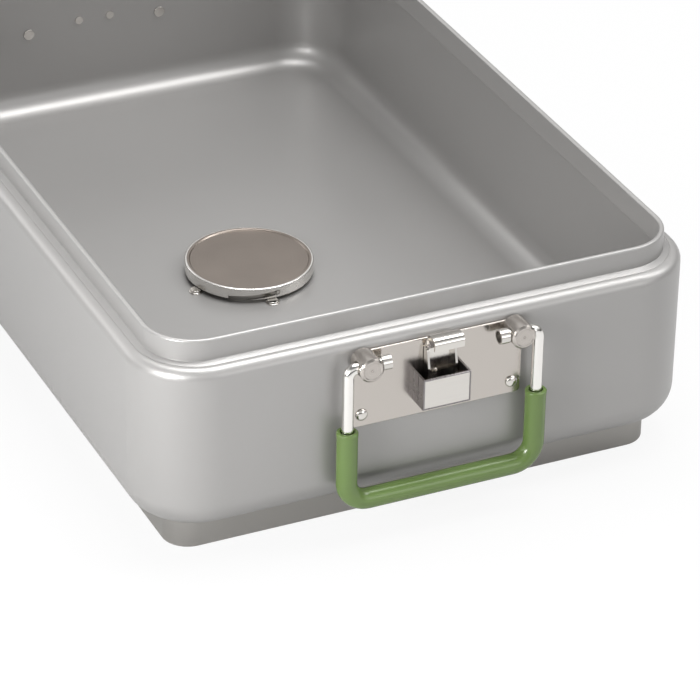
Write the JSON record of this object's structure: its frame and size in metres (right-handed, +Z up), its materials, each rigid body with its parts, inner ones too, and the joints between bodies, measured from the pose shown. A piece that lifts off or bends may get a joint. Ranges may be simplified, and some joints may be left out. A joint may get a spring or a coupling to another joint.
{
  "type": "sterilization container base",
  "caption": "Open base of a rigid sterilization container with folding carrying handles, lid locks and a bayonet floor drain, for surgical instruments.",
  "frame": {"origin": "middle of the foot frame's lower edge, on the surface that the container stands on", "axes": "+X across the width, +Y along the length from the front end to the rear end, +Z up"},
  "size_m": [0.28, 0.4572, 0.113],
  "materials": {
    "anodised": "matt anodised",
    "foot_aluminium": "brushed",
    "stainless": "pressed sheet",
    "polished": "polished stainless steel",
    "spring_steel": "drawn wire",
    "drain_steel": "brushed in circles",
    "silicone": "matt silicone",
    "bimetal": "rolled strip",
    "plate_steel": "satin",
    "post_steel": "turned",
    "green_sleeve": "glossy silicone",
    "lock_steel": "polished sheet",
    "face_steel": "satin, blank",
    "hook_steel": "polished sheet"
  },
  "bodies": {
    "container": {"tub_shell": "anodised", "foot_frame": "foot_aluminium", "drain_base_ring": "stainless", "drain_bayonet_pins": "stainless", "drain_ring_rivets": "stainless", "drain_support_studs": "polished", "valve_spring": "spring_steel", "front_handle_plate": "plate_steel", "front_plate_rivets": "polished", "front_left_handle_post": "post_steel", "front_right_handle_post": "post_steel", "front_post_washers": "stainless", "front_lock_housing": "lock_steel", "front_lock_rivets": "stainless", "front_lock_face_plate": "face_steel", "front_lock_pivot_pin": "polished", "front_lock_hook_spring": "spring_steel", "front_thermal_strip": "bimetal", "front_plunger_spring": "spring_steel", "rear_handle_plate": "plate_steel", "rear_plate_rivets": "polished", "rear_left_handle_post": "post_steel", "rear_right_handle_post": "post_steel", "rear_post_washers": "stainless", "rear_lock_housing": "lock_steel", "rear_lock_rivets": "stainless", "rear_lock_face_plate": "face_steel", "rear_lock_pivot_pin": "polished", "rear_lock_hook_spring": "spring_steel", "rear_thermal_strip": "bimetal", "rear_plunger_spring": "spring_steel"},
    "front_handle": {"front_handle_wire": "polished", "front_handle_grip": "green_sleeve", "front_handle_collars": "post_steel"},
    "front_hook": {"front_lock_hook": "hook_steel"},
    "front_plunger": {"front_lock_plunger": "polished"},
    "rear_handle": {"rear_handle_wire": "polished", "rear_handle_grip": "green_sleeve", "rear_handle_collars": "post_steel"},
    "rear_hook": {"rear_lock_hook": "hook_steel"},
    "rear_plunger": {"rear_lock_plunger": "polished"},
    "gasket_unit": {"drain_gasket": "silicone", "gasket_carrier": "stainless"},
    "cap": {"drain_cap": "drain_steel"},
    "valve": {"valve_disc": "stainless", "valve_seal": "silicone", "bimetal_disc": "bimetal"}
  },
  "joints": [
    {"name": "front_handle_swing", "type": "hinge", "parent": "container", "child": "front_handle", "pos_m": [0, -0.223, 0.0921], "axis": [-1, 0, 0], "range_deg": [0, 90]},
    {"name": "front_hook_tilt", "type": "hinge", "parent": "container", "child": "front_hook", "pos_m": [0, -0.2198, 0.071], "axis": [1, 0, 0], "range_deg": [0, 12], "stiffness_Nm_per_rad": 0.05, "springref_deg": -5.73},
    {"name": "front_plunger_press", "type": "slide", "parent": "container", "child": "front_plunger", "axis": [0, 0, -1], "range_m": [0, 0.002], "stiffness_N_per_m": 200, "springref_m": -0.001, "deforming": ["front_plunger_spring"]},
    {"name": "rear_handle_swing", "type": "hinge", "parent": "container", "child": "rear_handle", "pos_m": [0, 0.223, 0.0921], "axis": [1, 0, 0], "range_deg": [0, 90]},
    {"name": "rear_hook_tilt", "type": "hinge", "parent": "container", "child": "rear_hook", "pos_m": [0, 0.2198, 0.071], "axis": [-1, 0, 0], "range_deg": [0, 12], "stiffness_Nm_per_rad": 0.05, "springref_deg": -5.73},
    {"name": "rear_plunger_press", "type": "slide", "parent": "container", "child": "rear_plunger", "axis": [0, 0, -1], "range_m": [0, 0.002], "stiffness_N_per_m": 200, "springref_m": -0.001, "deforming": ["rear_plunger_spring"]},
    {"name": "drain_gasket_lift", "type": "slide", "parent": "container", "child": "gasket_unit", "axis": [0, 0, 1], "range_m": [0, 0.00195]},
    {"name": "drain_cap_turn", "type": "hinge", "parent": "gasket_unit", "child": "cap", "pos_m": [0, 0, 0.02], "axis": [0, 0, 1], "range_deg": [0, 41]},
    {"name": "drain_valve_lift", "type": "slide", "parent": "container", "child": "valve", "axis": [0, 0, 1], "range_m": [0, 0.0009], "stiffness_N_per_m": 300, "springref_m": -0.001, "deforming": ["valve_spring"]}
  ],
  "couplings": [
    {"joint": "drain_cap_turn", "follows": "drain_gasket_lift", "rad_per_m": 357}
  ]
}
